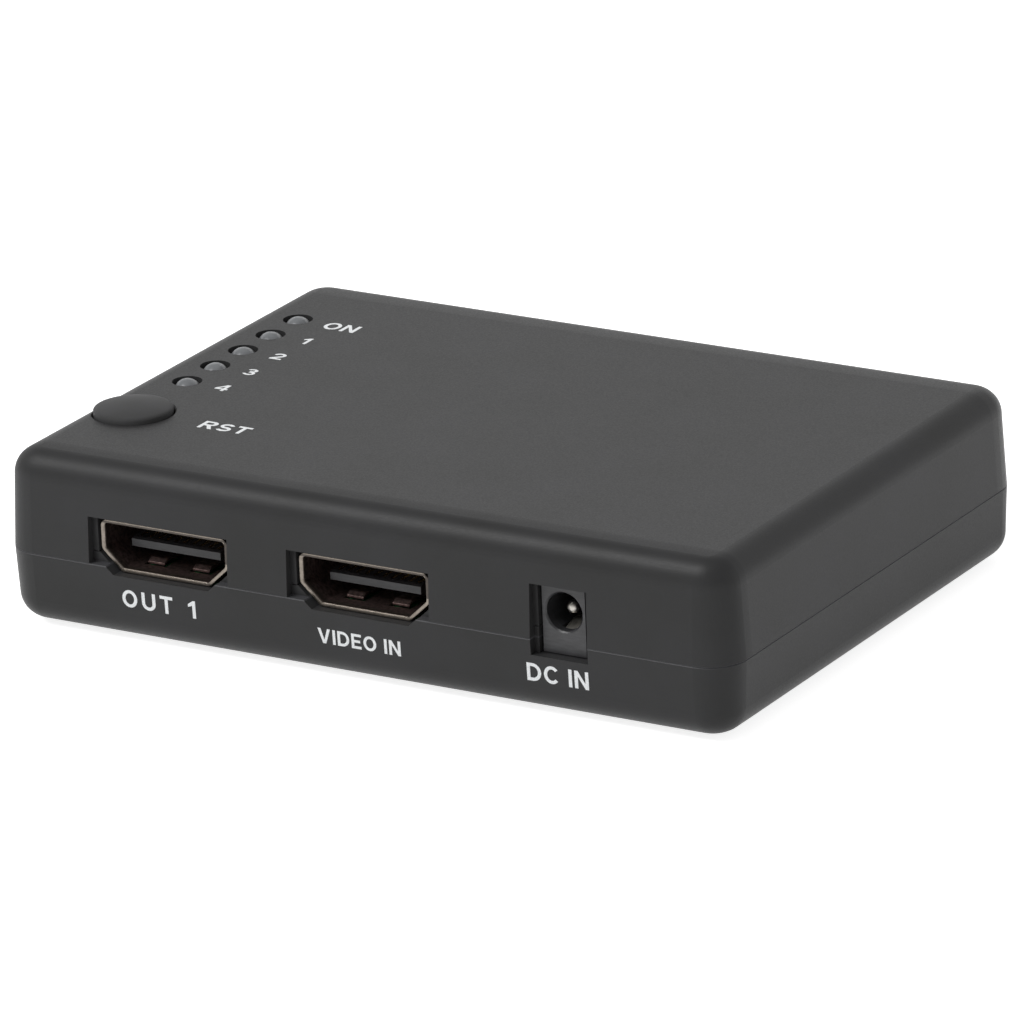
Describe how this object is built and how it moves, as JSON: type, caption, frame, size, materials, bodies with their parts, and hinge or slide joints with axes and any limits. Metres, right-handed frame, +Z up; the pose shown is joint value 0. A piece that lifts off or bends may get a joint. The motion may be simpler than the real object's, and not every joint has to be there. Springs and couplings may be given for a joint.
{
  "type": "hdmi splitter",
  "caption": "Low black plastic box that repeats one video input to several outputs, with indicator lamps, a round reset button and a barrel power inlet.",
  "frame": {"origin": "on the standing surface, under the centre of the case", "axes": "+X along the long side, to the right seen from the front; -Y out of the front wall with the input; +Z up"},
  "size_m": [0.0824, 0.06, 0.0192],
  "materials": {
    "case_plastic": "fine spark texture, matt black ABS",
    "button_plastic": "smooth satin black ABS",
    "insulator_plastic": "moulded black nylon",
    "foot_rubber": "matt black rubber",
    "board_laminate": "green solder mask on glass laminate",
    "socket_shell": "nickel-plated steel, folded",
    "screw_steel": "black zinc",
    "tinned_steel": "tin plate",
    "spring_steel": "bright spring strip",
    "nickel_brass": "nickel-plated brass",
    "gold_contact": "gold flash",
    "lamp_lens": "clear diffused epoxy",
    "chip_epoxy": "moulded epoxy",
    "chip_ceramic": "fired ceramic",
    "ferrite": "sintered ferrite",
    "can_aluminium": "bright drawn aluminium"
  },
  "bodies": {
    "housing": {"top_cover": "case_plastic", "bottom_cover": "case_plastic", "case_screws": "screw_steel", "rubber_feet": "foot_rubber", "main_board": "board_laminate", "reset_switch_body": "insulator_plastic", "reset_switch_cover": "tinned_steel", "reset_switch_dome": "spring_steel", "reset_switch_legs": "tinned_steel", "led_leads": "tinned_steel", "dc_jack_housing": "insulator_plastic", "dc_jack_pin": "nickel_brass", "dc_jack_spring": "spring_steel", "splitter_chip": "chip_epoxy", "memory_chip": "chip_epoxy", "memory_chip_leads": "tinned_steel", "voltage_regulator": "chip_epoxy", "voltage_regulator_leads": "tinned_steel", "power_inductor": "ferrite", "capacitor_cans": "can_aluminium", "capacitor_bases": "insulator_plastic", "crystal": "tinned_steel", "surge_arrays": "chip_epoxy", "chip_resistors": "chip_ceramic", "chip_capacitors": "chip_ceramic", "power_led": "lamp_lens", "output_1_led": "lamp_lens", "output_2_led": "lamp_lens", "output_3_led": "lamp_lens", "output_4_led": "lamp_lens", "output_1_shell": "socket_shell", "output_1_insulator": "insulator_plastic", "output_1_contacts": "gold_contact", "input_shell": "socket_shell", "input_insulator": "insulator_plastic", "input_contacts": "gold_contact", "output_2_shell": "socket_shell", "output_2_insulator": "insulator_plastic", "output_2_contacts": "gold_contact", "output_3_shell": "socket_shell", "output_3_insulator": "insulator_plastic", "output_3_contacts": "gold_contact", "output_4_shell": "socket_shell", "output_4_insulator": "insulator_plastic", "output_4_contacts": "gold_contact"},
    "button": {"reset_button": "button_plastic"},
    "plunger": {"reset_switch_plunger": "insulator_plastic"}
  },
  "joints": [
    {"name": "button_press", "type": "slide", "parent": "housing", "child": "button", "axis": [0, 0, -1], "range_m": [0, 0.00025], "stiffness_N_per_m": 4000, "springref_m": -0.0001},
    {"name": "plunger_press", "type": "slide", "parent": "housing", "child": "plunger", "axis": [0, 0, -1], "range_m": [0, 0.00025], "deforming": ["reset_switch_dome"]}
  ],
  "couplings": [
    {"joint": "plunger_press", "follows": "button_press", "ratio": 1}
  ]
}
